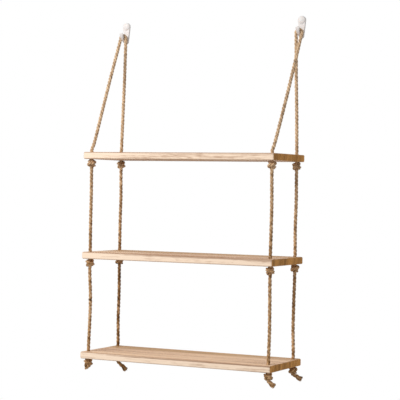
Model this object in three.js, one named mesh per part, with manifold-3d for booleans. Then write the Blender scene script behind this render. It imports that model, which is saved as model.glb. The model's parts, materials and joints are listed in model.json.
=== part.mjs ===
// Hanging rope shelf: three drilled boards strung on two lengths of twisted rope, each looped over a small
// wall hook and knotted under every board. Millimetres, +Z up.
// The origin is on the wall, midway between the hooks, level with the crowns of the two rope loops.
// +X runs along the boards to the right and +Y runs into the wall, so the room is towards -Y.
import * as THREE from "three";
import { mergeVertices } from "three/addons/utils/BufferGeometryUtils.js";
import Module from "manifold-3d";

const wasm = await Module();
wasm.setup();

// Boards
const boardLength = 420;
const boardDepth = 150;
const boardThickness = 14;
const boardEdgeRound = 2.5;
const boardCornerRound = 4;
const boardWallGap = 1;
const boardDropBelowCrown = 247;
const tierPitch = 201;
const holeEndInset = 11;
const holeEdgeInset = 15.5;
const holeDiameter = 8.5;
const holeChamfer = 0.6;

// Rope, and how near its neighbours lie
const ropeDiameter = 6;
const knottedRopeDiameter = 4.5;
const knotStrandPitch = 5.2;
const knotExitLength = 1.5;
const seatGap = 0.3;
const bendGap = 0.7;

// Wall hooks
const hookHeadDiameter = 17;
const hookHeadDome = 1.8;
const hookFootWidth = 10;
const hookRiseAboveCrown = 28;
const hookDropBelowCrown = 17;
const hookPlateThickness = 3.5;
const hookPlateRound = 1;
const saddleWidth = 6;
const lipWidth = 8;
const tongueFootWidth = 3.2;
const troughReach = 4.6;
const troughFillet = 5;
const lipRise = 5.5;
const lipLean = 2.2;
const lipThickness = 3.2;
const lipInnerRound = 1.5;
const padThickness = 1;
const padInset = 1.2;
const padGap = 0.1;

// Making values
const cutOverrun = 2;
const weldDistance = 0.0001;

// Counts and angles
const ropeSides = 8;
const knotSides = 6;
const knotStepsPerSpan = 2;
const legStepsPerSpan = 2;
const loopStepsPerSpan = 1;
const loopSpans = 6;
const selfGapSamples = 400;
const selfGapSkippedPitches = 1.7;
const holeSegments = 16;
const roundSegments = 3;
const plateSegments = 9;
const profileSegments = 5;
const loopHalfAngle = THREE.MathUtils.degToRad(25);
const loopJointAngle = THREE.MathUtils.degToRad(10);

// Places that follow from the sizes
const ropeRadius = ropeDiameter / 2;
const knottedRopeRadius = knottedRopeDiameter / 2;
const holeX = boardLength / 2 - holeEndInset;
const backHoleY = -(boardWallGap + holeEdgeInset);
const frontHoleY = -(boardWallGap + boardDepth - holeEdgeInset);
const boardCentreY = -(boardWallGap + boardDepth / 2);
const saddleRadius = saddleWidth / 2;
const loopRadius = ropeRadius + seatGap + saddleRadius;
const saddleZ = -loopRadius;
const frontReach = backHoleY - frontHoleY;
const tiers = ["top", "middle", "bottom"];
const stretches = ["upper", "middle", "lower"];
const boardTops = tiers.map((tier, index) => -(boardDropBelowCrown + index * tierPitch));

// Half of an overhand knot's centre line, from the strand that enters at the top to the middle of its outer
// wrap, in strand pitches. The other half is the same line turned half way round the X axis.
const knotHalfRouteShares = [
  [0, 0, 1.5],
  [0.05, -0.2, 0.8],
  [0.12, -0.52, 0.05],
  [0, -0.85, -0.5],
  [-0.5, -1.05, -0.85],
  [-1.1, -0.5, -0.95],
  [-1.05, 0.6, -0.8],
  [-0.1, 1.4, -0.55],
  [1, 1, -0.28],
  [1.25, 0, 0],
];
const knotHalfHeightShare = 0.96;
const knotHalfHeight = knotHalfHeightShare * knotStrandPitch + knottedRopeRadius;
const knotCentreDrop = boardThickness + seatGap + knotHalfHeight;
const knotExitDrop = knotCentreDrop + knotHalfHeight + knotExitLength;
const ropeTopDrop = knotExitDrop + bendGap;

// How each knot is turned about the rope, in degrees, and whether it is tied left-handed
const knotTurns = {
  top: { left_front: [117, true], left_back: [-58, false], right_front: [108, true], right_back: [-70, false] },
  middle: { left_front: [-52, false], left_back: [128, true], right_front: [-63, false], right_back: [120, true] },
  bottom: { left_front: [-60, false], left_back: [112, true], right_front: [-68, false], right_back: [117, true] },
};

// Where each loose tail under the bottom board goes, in rope diameters from the knot's exit
const tailRouteShares = {
  left_front: [[-0.3, -0.1, -0.35], [-1.15, -0.4, -0.75]],
  left_back: [[0.3, 0.05, -0.8], [1.4, 0.25, -1.9], [3, 0.5, -3.2]],
  right_front: [[0.4, 0.15, -0.6], [2.15, 0.8, -1.65]],
  right_back: [[0.5, 0.2, -0.55], [2.35, 1, -1.3]],
};

// How far each hanging stretch bows out of line at its upper and lower thirds, in rope diameters along X and Y
const bowShares = {
  upper: {
    left_front: [[-0.15, 0.1], [-0.1, 0.1]],
    left_back: [[0.1, 0], [0.05, 0]],
    right_front: [[0.1, 0.1], [0.15, 0]],
    right_back: [[-0.05, 0], [0.05, 0]],
  },
  middle: {
    left_front: [[0.05, 0], [-0.05, 0.05]],
    left_back: [[0.15, 0], [0.05, -0.1]],
    right_front: [[0.15, 0], [0.1, 0]],
    right_back: [[0.1, -0.05], [-0.1, 0]],
  },
  lower: {
    left_front: [[0.4, 0], [0.35, -0.1]],
    left_back: [[0.05, 0], [-0.15, 0.05]],
    right_front: [[0.1, 0], [0.15, 0]],
    right_back: [[-0.15, 0], [-0.25, 0.05]],
  },
};

const woodMaterial = new THREE.MeshStandardMaterial({ color: 0xe6c69c, roughness: 0.6, metalness: 0 });
const ropeMaterial = new THREE.MeshStandardMaterial({ color: 0xad8b62, roughness: 0.95, metalness: 0 });
const hookMaterial = new THREE.MeshStandardMaterial({ color: 0xf4efec, roughness: 0.35, metalness: 0 });
const padMaterial = new THREE.MeshStandardMaterial({ color: 0xdcdcd8, roughness: 0.8, metalness: 0 });

// Solids
function toSolid(geometry) {
  const bare = geometry.index ? geometry.toNonIndexed() : geometry.clone();
  bare.deleteAttribute("normal");
  bare.deleteAttribute("uv");
  const merged = mergeVertices(bare, weldDistance);
  const vertProperties = merged.attributes.position.array;
  const triVerts = new Uint32Array(merged.index.array);
  return new wasm.Manifold(new wasm.Mesh({ numProp: 3, vertProperties, triVerts }));
}

function toGeometry(solid) {
  const mesh = solid.getMesh();
  const geometry = new THREE.BufferGeometry();
  geometry.setAttribute("position", new THREE.BufferAttribute(new Float32Array(mesh.vertProperties), 3));
  geometry.setIndex(new THREE.BufferAttribute(new Uint32Array(mesh.triVerts), 1));
  geometry.computeVertexNormals();
  return geometry;
}

function namedMesh(name, geometry, material) {
  const mesh = new THREE.Mesh(geometry, material);
  mesh.name = name;
  return mesh;
}

// A prism whose outline is drawn in X and Z, from the plane y = 0 out to y = -depth
function facingPrism(outline, options) {
  return new THREE.ExtrudeGeometry(outline, options).rotateX(Math.PI / 2);
}

// A prism across X, centred on x = 0, whose outline is drawn as distance out from the wall and height
function sidePrism(outline, width, curveSegments) {
  const geometry = new THREE.ExtrudeGeometry(outline, { depth: width, bevelEnabled: false, curveSegments });
  geometry.translate(0, 0, -width / 2);
  const outward = new THREE.Vector3(0, -1, 0);
  const upward = new THREE.Vector3(0, 0, 1);
  const across = new THREE.Vector3().crossVectors(outward, upward);
  return geometry.applyMatrix4(new THREE.Matrix4().makeBasis(outward, upward, across));
}

// Rope
function ropeSection(radius, sides) {
  const corners = [];
  for (let side = 0; side < sides; side += 1) {
    const angle = (2 * Math.PI * side) / sides;
    corners.push(new THREE.Vector2(radius * Math.cos(angle), radius * Math.sin(angle)));
  }
  return new THREE.Shape(corners);
}

// A smooth line whose steps are shared out evenly among its spans, so tight bends get the short ones. An end
// is cut square to its direction where one is given, and else to its first or last span.
class RopeLine extends THREE.CatmullRomCurve3 {
  constructor(points, startDirection, endDirection) {
    super(points);
    this.endDirections = [startDirection, endDirection];
  }

  getUtoTmapping(share) {
    return share;
  }

  getTangent(share, target) {
    const direction = this.endDirections[share];
    return direction ? direction.clone() : super.getTangent(share, target);
  }
}

function ropeGeometry(line, radius, sides, stepsPerSpan) {
  const steps = (line.points.length - 1) * stepsPerSpan;
  return new THREE.ExtrudeGeometry(ropeSection(radius, sides), { steps, bevelEnabled: false, extrudePath: line });
}

// The part of the loop over the hook from one angle to another, measured from its crown
function loopPoints(fromAngle, toAngle, count) {
  const points = [];
  for (let index = 0; index <= count; index += 1) {
    const angle = fromAngle + ((toAngle - fromAngle) * index) / count;
    points.push(new THREE.Vector3(loopRadius * Math.sin(angle), 0, saddleZ + loopRadius * Math.cos(angle)));
  }
  return points;
}

// The way that the loop heads at an angle from its crown
function loopDirection(angle) {
  return new THREE.Vector3(Math.cos(angle), 0, -Math.sin(angle));
}

function ropeLoop(name) {
  const points = loopPoints(-loopHalfAngle, loopHalfAngle, loopSpans);
  const line = new RopeLine(points, loopDirection(-loopHalfAngle), loopDirection(loopHalfAngle));
  return namedMesh(name, ropeGeometry(line, ropeRadius, ropeSides, loopStepsPerSpan), ropeMaterial);
}

// A leg from the side of the loop down to its hole in the top board. It leaves the loop on the outer side of
// the hook where it runs to the front hole, and on the inner side where it hangs to the back one.
function upperRope(name, outwardSign, isFront, bows) {
  const side = isFront ? outwardSign : -outwardSign;
  const reach = isFront ? -frontReach : 0;
  const topAngle = loopHalfAngle + loopJointAngle;
  const points = loopPoints(topAngle, Math.PI / 2, profileSegments - 1);
  points.forEach((point) => (point.x *= side));
  const topDirection = loopDirection(topAngle);
  topDirection.x *= side;
  const start = points[points.length - 1];
  const end = new THREE.Vector3(0, reach, -boardDropBelowCrown);
  const dropShares = [0.045, 0.35, 0.65, 0.93, 0.98];
  dropShares.forEach((share, index) => {
    const point = start.clone().lerp(end, share);
    const bow = bows[index - 1] ?? [0, 0];
    point.x += bow[0] * ropeDiameter;
    point.y += bow[1] * ropeDiameter;
    points.push(point);
  });
  points[points.length - 1].y = reach;
  points.push(end);
  const line = new RopeLine(points, topDirection);
  return namedMesh(name, ropeGeometry(line, ropeRadius, ropeSides, legStepsPerSpan), ropeMaterial);
}

// A leg from the knot under one board to the hole in the next
function lowerRope(name, bows) {
  const top = -ropeTopDrop;
  const length = tierPitch - ropeTopDrop;
  const dropShares = [0, 0.07, 0.35, 0.65, 0.93, 1];
  const points = dropShares.map((share, index) => {
    const bow = bows[index - 2] ?? [0, 0];
    return new THREE.Vector3(bow[0] * ropeDiameter, bow[1] * ropeDiameter, top - share * length);
  });
  const line = new RopeLine(points);
  return namedMesh(name, ropeGeometry(line, ropeRadius, ropeSides, legStepsPerSpan), ropeMaterial);
}

// Knots
// The whole centre line of the knot about its own middle
function knotRoute(turnDegrees, isLeftHanded) {
  const half = knotHalfRouteShares.map(([x, y, z]) => new THREE.Vector3(x, y, z));
  const otherHalf = half.slice(0, -1).reverse();
  const whole = half.concat(otherHalf.map((point) => new THREE.Vector3(point.x, -point.y, -point.z)));
  const turn = THREE.MathUtils.degToRad(turnDegrees);
  const axis = new THREE.Vector3(0, 0, 1);
  return whole.map((point) => {
    point.x *= isLeftHanded ? -1 : 1;
    return point.applyAxisAngle(axis, turn).multiplyScalar(knotStrandPitch);
  });
}

// The least space between the surfaces of strands that lie side by side in a knot
function leastSelfGap(points, radius) {
  const curve = new THREE.CatmullRomCurve3(points);
  const samples = curve.getSpacedPoints(selfGapSamples);
  const apart = curve.getLength() / selfGapSamples;
  const skipped = Math.ceil((selfGapSkippedPitches * knotStrandPitch) / apart);
  let least = Infinity;
  samples.forEach((point, index) => {
    for (let other = index + skipped; other < samples.length; other += 1) {
      least = Math.min(least, point.distanceTo(samples[other]));
    }
  });
  return least - 2 * radius;
}

// An overhand knot with the stub of rope in the hole above it, and its tail where it is the last one
function knot(name, turn, tail) {
  const points = knotRoute(turn[0], turn[1]);
  points.unshift(new THREE.Vector3(0, 0, knotCentreDrop - bendGap));
  const exit = new THREE.Vector3(0, 0, knotCentreDrop - knotExitDrop);
  points.push(exit);
  (tail ?? []).forEach(([x, y, z]) => {
    points.push(new THREE.Vector3(x, y, z).multiplyScalar(ropeDiameter).add(exit));
  });
  console.log(name + " least gap to itself " + leastSelfGap(points, knottedRopeRadius).toFixed(2) + " mm");
  const line = new RopeLine(points);
  return namedMesh(name, ropeGeometry(line, knottedRopeRadius, knotSides, knotStepsPerSpan), ropeMaterial);
}

// Boards
function boardOutline() {
  const halfLength = boardLength / 2;
  const halfDepth = boardDepth / 2;
  const corner = boardCornerRound;
  const outline = new THREE.Shape();
  outline.absarc(halfLength - corner, -halfDepth + corner, corner, -Math.PI / 2, 0);
  outline.absarc(halfLength - corner, halfDepth - corner, corner, 0, Math.PI / 2);
  outline.absarc(-halfLength + corner, halfDepth - corner, corner, Math.PI / 2, Math.PI);
  outline.absarc(-halfLength + corner, -halfDepth + corner, corner, Math.PI, (3 * Math.PI) / 2);
  return outline;
}

// A round cutter along Z whose ends flare into the two faces of the board
function holeCutter() {
  const radius = holeDiameter / 2;
  const flare = radius + holeChamfer + cutOverrun;
  const profile = [
    new THREE.Vector2(0, -boardThickness - cutOverrun),
    new THREE.Vector2(flare, -boardThickness - cutOverrun),
    new THREE.Vector2(radius, -boardThickness + holeChamfer),
    new THREE.Vector2(radius, -holeChamfer),
    new THREE.Vector2(flare, cutOverrun),
    new THREE.Vector2(0, cutOverrun),
  ];
  return new THREE.LatheGeometry(profile, holeSegments).rotateX(Math.PI / 2);
}

function board(name) {
  const blank = new THREE.ExtrudeGeometry(boardOutline(), {
    depth: boardThickness - 2 * boardEdgeRound,
    bevelThickness: boardEdgeRound,
    bevelSize: boardEdgeRound,
    bevelOffset: -boardEdgeRound,
    bevelSegments: roundSegments,
    curveSegments: roundSegments,
  });
  blank.translate(0, boardCentreY, -boardThickness + boardEdgeRound);
  let solid = toSolid(blank);
  [-holeX, holeX].forEach((x) => {
    [frontHoleY, backHoleY].forEach((y) => {
      solid = solid.subtract(toSolid(holeCutter().translate(x, y, 0)));
    });
  });
  return namedMesh(name, toGeometry(solid), woodMaterial);
}

// Wall hooks, each drawn about the crown of its rope loop
// How far behind that crown the plate's front face lies
const plateFront = -(backHoleY + padThickness + padGap + hookPlateThickness);

// An upright drop shape: a large circle at the head, a small one at the foot and their two tangents
function plateOutline(inset) {
  const headRadius = hookHeadDiameter / 2 - inset;
  const footRadius = hookFootWidth / 2 - inset;
  const headZ = hookRiseAboveCrown - hookHeadDiameter / 2;
  const footZ = -hookDropBelowCrown + hookFootWidth / 2;
  const lean = Math.asin((headRadius - footRadius) / (headZ - footZ));
  const outline = new THREE.Shape();
  outline.absarc(0, headZ, headRadius, -lean, Math.PI + lean);
  outline.absarc(0, footZ, footRadius, Math.PI + lean, 2 * Math.PI - lean);
  return outline;
}

function hookPlate() {
  const plate = facingPrism(plateOutline(0), {
    depth: hookPlateThickness - 2 * hookPlateRound,
    bevelThickness: hookPlateRound,
    bevelSize: hookPlateRound,
    bevelOffset: -hookPlateRound,
    bevelSegments: roundSegments - 1,
    curveSegments: plateSegments,
  });
  return plate.translate(0, plateFront + hookPlateThickness - hookPlateRound, 0);
}

// The round domed head above the hook, sunk into the plate it stands on
function hookHead() {
  const radius = hookHeadDiameter / 2 - hookPlateRound;
  const profile = [new THREE.Vector2(0, -hookPlateThickness / 2)];
  profile.push(new THREE.Vector2(radius, -hookPlateThickness / 2));
  for (let step = 0; step <= profileSegments; step += 1) {
    const angle = (Math.PI / 2) * (step / profileSegments);
    profile.push(new THREE.Vector2(radius * Math.cos(angle), hookHeadDome * Math.sin(angle)));
  }
  profile[profile.length - 1].x = 0;
  const head = new THREE.LatheGeometry(profile, 2 * plateSegments);
  return head.rotateX(Math.PI).translate(0, plateFront, hookRiseAboveCrown - hookHeadDiameter / 2);
}

// The tongue from the side: a fillet off the plate, the floor the rope sits on, the leaning lip, and an
// outer face that sweeps back to the foot of the plate
function tongueOutline() {
  const floorZ = -ropeRadius - seatGap;
  const root = -plateFront - hookPlateThickness / 2;
  const tipInner = troughReach + lipLean;
  const tipOuter = tipInner + lipThickness;
  const outline = new THREE.Shape();
  outline.moveTo(root, floorZ + troughFillet);
  outline.lineTo(-plateFront, floorZ + troughFillet);
  outline.quadraticCurveTo(-plateFront, floorZ, -plateFront + troughFillet, floorZ);
  outline.lineTo(troughReach - lipInnerRound, floorZ);
  outline.quadraticCurveTo(troughReach, floorZ, troughReach + lipLean / 4, floorZ + lipInnerRound);
  outline.lineTo(tipInner, lipRise - lipThickness / 2);
  outline.absarc((tipInner + tipOuter) / 2, lipRise - lipThickness / 2, lipThickness / 2, Math.PI, 0, true);
  outline.bezierCurveTo(
    tipOuter, floorZ,
    troughReach, (floorZ - 2 * hookDropBelowCrown) / 3,
    -plateFront, -hookDropBelowCrown,
  );
  outline.lineTo(root, -hookDropBelowCrown);
  return outline;
}

// The tongue from the front: a wide round lip, narrowing to the saddle's axis and then to the foot
function tongueFrontOutline() {
  const halfFoot = tongueFootWidth / 2;
  const lipRadius = lipWidth / 2;
  const outline = new THREE.Shape();
  outline.absarc(0, lipRise - lipRadius, lipRadius, 0, Math.PI);
  outline.lineTo(-saddleRadius, saddleZ);
  outline.lineTo(-halfFoot, -hookDropBelowCrown);
  outline.lineTo(halfFoot, -hookDropBelowCrown);
  outline.lineTo(saddleRadius, saddleZ);
  return outline;
}

// What is cut off the trough's floor to leave a half round saddle for the rope
function saddleCutter() {
  const length = troughReach + plateFront - troughFillet;
  const middleY = -(troughReach - length / 2);
  const height = saddleRadius + cutOverrun;
  const block = new THREE.BoxGeometry(lipWidth + cutOverrun, length, height);
  block.translate(0, middleY, saddleZ + height / 2);
  const rod = new THREE.CylinderGeometry(saddleRadius, saddleRadius, length + cutOverrun, holeSegments);
  rod.translate(0, middleY, saddleZ);
  return toSolid(block).subtract(toSolid(rod));
}

function wallHook(name) {
  const length = troughReach + lipLean + lipThickness + plateFront + hookPlateThickness;
  const front = facingPrism(tongueFrontOutline(), {
    depth: length,
    bevelEnabled: false,
    curveSegments: profileSegments,
  });
  front.translate(0, plateFront + hookPlateThickness / 2, 0);
  const side = sidePrism(tongueOutline(), lipWidth + cutOverrun, profileSegments);
  const tongue = toSolid(side).intersect(toSolid(front)).subtract(saddleCutter());
  const solid = toSolid(hookPlate()).add(toSolid(hookHead())).add(tongue);
  return namedMesh(name, toGeometry(solid), hookMaterial);
}

function adhesivePad(name) {
  const pad = facingPrism(plateOutline(padInset), {
    depth: padThickness,
    bevelEnabled: false,
    curveSegments: plateSegments,
  });
  return namedMesh(name, pad.translate(0, -backHoleY, 0), padMaterial);
}

// Assembly
const shelf = new THREE.Group();

[-1, 1].forEach((sign) => {
  const sideName = sign < 0 ? "left" : "right";
  const hanger = new THREE.Group();
  hanger.position.set(sign * holeX, backHoleY, 0);
  hanger.add(wallHook(sideName + "_wall_hook"));
  hanger.add(adhesivePad(sideName + "_adhesive_pad"));
  hanger.add(ropeLoop(sideName + "_rope_loop"));
  ["front", "back"].forEach((depthName) => {
    const corner = sideName + "_" + depthName;
    hanger.add(upperRope("upper_" + corner + "_rope", sign, depthName === "front", bowShares.upper[corner]));
  });
  shelf.add(hanger);
});

tiers.forEach((tier, index) => {
  const level = new THREE.Group();
  level.position.z = boardTops[index];
  level.add(board(tier + "_board"));
  const stretch = stretches[index + 1];
  [-1, 1].forEach((sign) => {
    ["front", "back"].forEach((depthName) => {
      const corner = (sign < 0 ? "left_" : "right_") + depthName;
      const holeY = depthName === "front" ? frontHoleY : backHoleY;
      const tail = tier === "bottom" ? tailRouteShares[corner] : null;
      const tied = knot(tier + "_" + corner + "_knot", knotTurns[tier][corner], tail);
      tied.position.set(sign * holeX, holeY, -knotCentreDrop);
      level.add(tied);
      if (!stretch) return;
      const leg = lowerRope(stretch + "_" + corner + "_rope", bowShares[stretch][corner]);
      leg.position.set(sign * holeX, holeY, 0);
      level.add(leg);
    });
  });
  shelf.add(level);
});

export default shelf;
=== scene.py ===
# Hanging rope shelf: three drilled boards on two lengths of twisted rope, looped over small wall hooks.
# Metres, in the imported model's frame: the wall is y = 0 and the crowns of the rope loops are z = 0.
import json
import math
import random

import bmesh
import bpy
from mathutils import Matrix, Quaternion, Vector


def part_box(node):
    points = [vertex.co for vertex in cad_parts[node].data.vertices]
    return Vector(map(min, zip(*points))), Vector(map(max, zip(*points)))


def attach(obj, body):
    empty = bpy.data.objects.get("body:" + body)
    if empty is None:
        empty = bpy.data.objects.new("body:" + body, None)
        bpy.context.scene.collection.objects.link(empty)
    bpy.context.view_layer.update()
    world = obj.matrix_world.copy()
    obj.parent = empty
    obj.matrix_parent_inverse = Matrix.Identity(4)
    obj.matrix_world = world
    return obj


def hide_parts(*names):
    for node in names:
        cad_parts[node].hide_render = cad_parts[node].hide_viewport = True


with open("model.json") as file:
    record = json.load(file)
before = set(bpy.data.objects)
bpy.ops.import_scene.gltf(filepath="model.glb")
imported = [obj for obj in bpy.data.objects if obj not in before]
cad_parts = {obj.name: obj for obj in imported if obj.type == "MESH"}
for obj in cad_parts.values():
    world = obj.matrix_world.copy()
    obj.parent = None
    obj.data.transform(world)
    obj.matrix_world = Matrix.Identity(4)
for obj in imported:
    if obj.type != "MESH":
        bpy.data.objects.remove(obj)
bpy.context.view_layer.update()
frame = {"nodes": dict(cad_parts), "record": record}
print("frame loaded,", len(frame["nodes"]), "nodes")

scene = bpy.context.scene
scene.view_settings.view_transform = "Standard"
mm = 0.001

bodies = frame["record"]["behaviour"]["bodies"]
bodyOfNode = {node: body for body, nodes in bodies.items() for node in nodes}
hookBox = {side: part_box(side + "_wall_hook") for side in ("left", "right")}
boardBox = {tier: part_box(tier + "_board") for tier in ("top", "middle", "bottom")}


# Camera and light
view = {
    "place": (1.3275, -2.6681, -0.3186),
    "target": (0.0173, -0.0760, -0.3394),
    "lens": 131.47,
    "rollDegrees": 1.01,
    "clipEnd": 60,
}

studio = {
    "floorSize": 24,
    "floorDrop": 3.3,
    "floorClearRadius": 1.4,
    "surroundings": (1, 0.985, 0.965),
    "surroundingsStrength": 0.5,
    "keyPlace": (-1.15, -1.95, 0.75),
    "keySize": 1.1,
    "keyPower": 45.5,
    "keyColour": (1, 0.985, 0.96),
    "floorColours": ((0.86, 0.855, 0.85), (0.88, 0.875, 0.87)),
    "floorGrain": 3,
    "floorWhiteNear": 0.65,
}


def makeCamera():
    camera = bpy.data.objects.new("photoCamera", bpy.data.cameras.new("photoCamera"))
    camera.data.lens = view["lens"]
    camera.data.clip_end = view["clipEnd"]
    camera.location = view["place"]
    towards = Vector(view["target"]) - camera.location
    facing = towards.to_track_quat("-Z", "Y")
    roll = Quaternion((0, 0, 1), math.radians(view["rollDegrees"]))
    camera.rotation_mode = "QUATERNION"
    camera.rotation_quaternion = facing @ roll
    scene.collection.objects.link(camera)
    scene.camera = camera


# Shader maths as plain expressions
class Socket:
    def __init__(self, tree, link):
        self.tree = tree
        self.link = link

    def maths(self, operation, *others, swapped=False):
        node = self.tree.nodes.new("ShaderNodeMath")
        node.operation = operation
        values = [self, *others]
        if swapped:
            values.reverse()
        for slot, value in enumerate(values):
            connect(self.tree, node.inputs[slot], value)
        return Socket(self.tree, node.outputs[0])

    def __add__(self, other):
        return self.maths("ADD", other)

    def __sub__(self, other):
        return self.maths("SUBTRACT", other)

    def __rsub__(self, other):
        return self.maths("SUBTRACT", other, swapped=True)

    def __mul__(self, other):
        return self.maths("MULTIPLY", other)

    def __truediv__(self, other):
        return self.maths("DIVIDE", other)

    def __pow__(self, other):
        return self.maths("POWER", other)

    def __abs__(self):
        return self.maths("ABSOLUTE")

    __radd__ = __add__
    __rmul__ = __mul__

    def clamped(self):
        return self.maths("MAXIMUM", 0).maths("MINIMUM", 1)


def connect(tree, socket, value):
    if isinstance(value, Socket):
        tree.links.new(value.link, socket)
    elif isinstance(value, (tuple, list)) and socket.type == "RGBA":
        socket.default_value = (*value[:3], 1)
    else:
        socket.default_value = value


class Shader:
    # The nodes of a new material or world
    def __init__(self, owner):
        self.owner = owner
        owner.use_nodes = True
        self.tree = owner.node_tree
        self.tree.nodes.clear()

    # Any node: its own settings first, then its inputs by name or number. Gives back the outputs asked for
    def node(self, kind, settings=None, inputs=None, outputs=(0,)):
        node = self.tree.nodes.new("ShaderNode" + kind)
        for key, value in (settings or {}).items():
            if key == "stops":
                self.setStops(node.color_ramp, value)
            else:
                setattr(node, key, value)
        for key, value in (inputs or {}).items():
            connect(self.tree, node.inputs[key], value)
        sockets = [Socket(self.tree, node.outputs[key]) for key in outputs]
        return sockets[0] if len(sockets) == 1 else sockets

    def setStops(self, ramp, stops):
        while len(ramp.elements) < len(stops):
            ramp.elements.new(1)
        for element, (place, colour) in zip(ramp.elements, stops):
            element.position = place
            element.color = (*colour, 1)

    def place(self, kind="Object"):
        return self.node("TexCoord", outputs=(kind,))

    def moved(self, vector, scale=(1, 1, 1), shift=(0, 0, 0)):
        return self.node("Mapping", inputs={"Vector": vector, "Scale": scale, "Location": shift})

    def parts(self, vector):
        return self.node("SeparateXYZ", inputs={0: vector}, outputs=(0, 1, 2))

    def joined(self, x, y, z):
        return self.node("CombineXYZ", inputs={0: x, 1: y, 2: z})

    def noise(self, vector, scale=1, detail=2, roughness=0.5):
        values = {"Vector": vector, "Scale": scale, "Detail": detail, "Roughness": roughness}
        return self.node("TexNoise", inputs=values)

    # 0 where a value is under low, 1 where it is over high, smooth between
    def step(self, value, low, high):
        values = {"Value": value, "From Min": low, "From Max": high}
        return self.node("MapRange", {"interpolation_type": "SMOOTHSTEP"}, values)

    def mixed(self, share, first, second, blend="MIX"):
        settings = {"data_type": "RGBA", "blend_type": blend, "clamp_factor": True}
        return self.node("Mix", settings, {0: share, 6: first, 7: second}, outputs=(2,))

    def bumped(self, height, strength, distance):
        return self.node("Bump", inputs={"Height": height, "Strength": strength, "Distance": distance})

    # Where the camera looks straight, through glass or by a reflection
    def shown(self):
        rays = ("Is Camera Ray", "Is Glossy Ray", "Is Transmission Ray")
        camera, glossy, through = self.node("LightPath", outputs=rays)
        return camera.maths("MAXIMUM", glossy).maths("MAXIMUM", through)

    def surfaced(self, surface, kind="Material"):
        self.node("Output" + kind, inputs={"Surface": surface}, outputs=())
        return self.owner

    def finish(self, values):
        return self.surfaced(self.node("BsdfPrincipled", inputs=values))


def newShader(name):
    return Shader(bpy.data.materials.new(name))


# Wood
wood = {
    "light": (0.92, 0.735, 0.575),
    "dark": (0.46, 0.285, 0.185),
    # The broad faces' tan: partly the wood's own colour, partly painted shade
    "faceTint": (0.97, 0.86, 0.74),
    "faceTanAndShade": (0.66, 0.51, 0.31),
    "endLight": (0.71, 0.345, 0.095),
    "endDark": (0.23, 0.098, 0.018),
    "edgeDark": (0.27, 0.135, 0.07),
    "roughness": 0.62,
    "roughnessUneven": 0.25,
    "endRougher": 0.2,
    "specular": 0.3,
    "bump": (0.35, 0.15 * mm),
    # Painted light on the front and back faces, strongest on the top board
    "paintedFrontLight": {"top": 0.22, "middle": 0.15, "bottom": 0.08},
    "grainShift": {
        "top": (0.31, 0.012, 0.034),
        "middle": (1.93, -0.028, -0.021),
        "bottom": (3.47, 0.035, 0.015),
    },
    # Growth rings
    "ringWidth": 1.8 * mm,
    "ringDarkens": (0.35, 0.88),
    "ringEnds": (0.9, 1),
    "ringRipple": 1.6 * mm,
    "ringUneven": 6 * mm,
    "unevenRings": 110,
    "bandWidth": 16 * mm,
    "bandAlong": 2,
    "bandEdges": (0.35, 0.65),
    "faintRings": 0.2,
    "pithBehind": 190 * mm,
    "pithBelow": 50 * mm,
    "pithWanders": 16 * mm,
    # Scale along X, Y and Z, detail and roughness of each noise
    "noises": {
        "drift": ((5.5, 20, 30), 2, 0.45),
        "ripple": ((30, 60, 90), 2, 0.5),
        "fibre": ((9, 420, 420), 3, 0.6),
        "streak": ((4.5, 210, 210), 2, 0.5),
        "broad": ((1.6, 34, 70), 2, 0.5),
        "mottle": ((70, 260, 260), 2, 0.5),
        "fine": ((17, 1500, 1500), 2, 0.5),
        "pore": ((45, 1300, 1300), 1, 0.5),
        "faceStreak": ((1.1, 24, 24), 3, 0.6),
        "vein": ((5, 85, 85), 1, 0.5),
        "strip": ((0.7, 15, 15), 2, 0.5),
        "cell": ((60, 900, 900), 2, 0.5),
        "sawMark": ((1, 190, 25), 2, 0.5),
    },
    # How much each noise darkens the long grain and the end grain, and how far each layer stands out
    "contrast": {"fibre": 1.1, "streak": 1.8, "broad": 1.5, "mottle": 1.1, "fine": 0.9},
    "faceContrast": {"faceStreak": 2.2, "vein": 2.2},
    "endContrast": {"band": 1.5, "cell": 0.7, "sawMark": 1.3},
    "relief": {"fibre": 0.5, "streak": 0.3, "pore": -0.5, "lateWood": -0.2, "endCell": 0.8},
    "ringDark": 0.85,
    "ringPalerOnEdge": 0.45,
    "endRingDark": 0.8,
    "poreEdges": (0.62, 0.74),
    "poreDark": 0.24,
    "toneShift": 0.06,
    "endToneShift": 0.2,
    "stripTowardsBack": 5,
    "stripEdges": (0.48, 0.74),
    # Which way a surface faces
    "faceTurn": (0.45, 0.9),
    "endTurn": (0.45, 0.8),
    # Browner holes with painted shade, edges darkened by wear and painted shade, and the dark line along the
    # front
    "holeGrainAndShadeShares": (0.51, 0.72),
    "holeGrainAndShade": 0.65,
    "burnishAndShadeWidth": 2.6 * mm,
    "burnishAndShade": 0.35,
    "frontBurnishAndShade": 0.85,
    "edgeLine": {"top": 0.25, "middle": 0.6, "bottom": 0.9},
    "lineTop": (1.9 * mm, 0.9 * mm),
    "lineBottom": (4 * mm, 2.8 * mm),
    "lineWanders": 5 * mm,
    "lineRagged": 1.6 * mm,
    "lineDepth": 3 * mm,
    "lineFades": (-0.17, -0.02),
}


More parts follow.
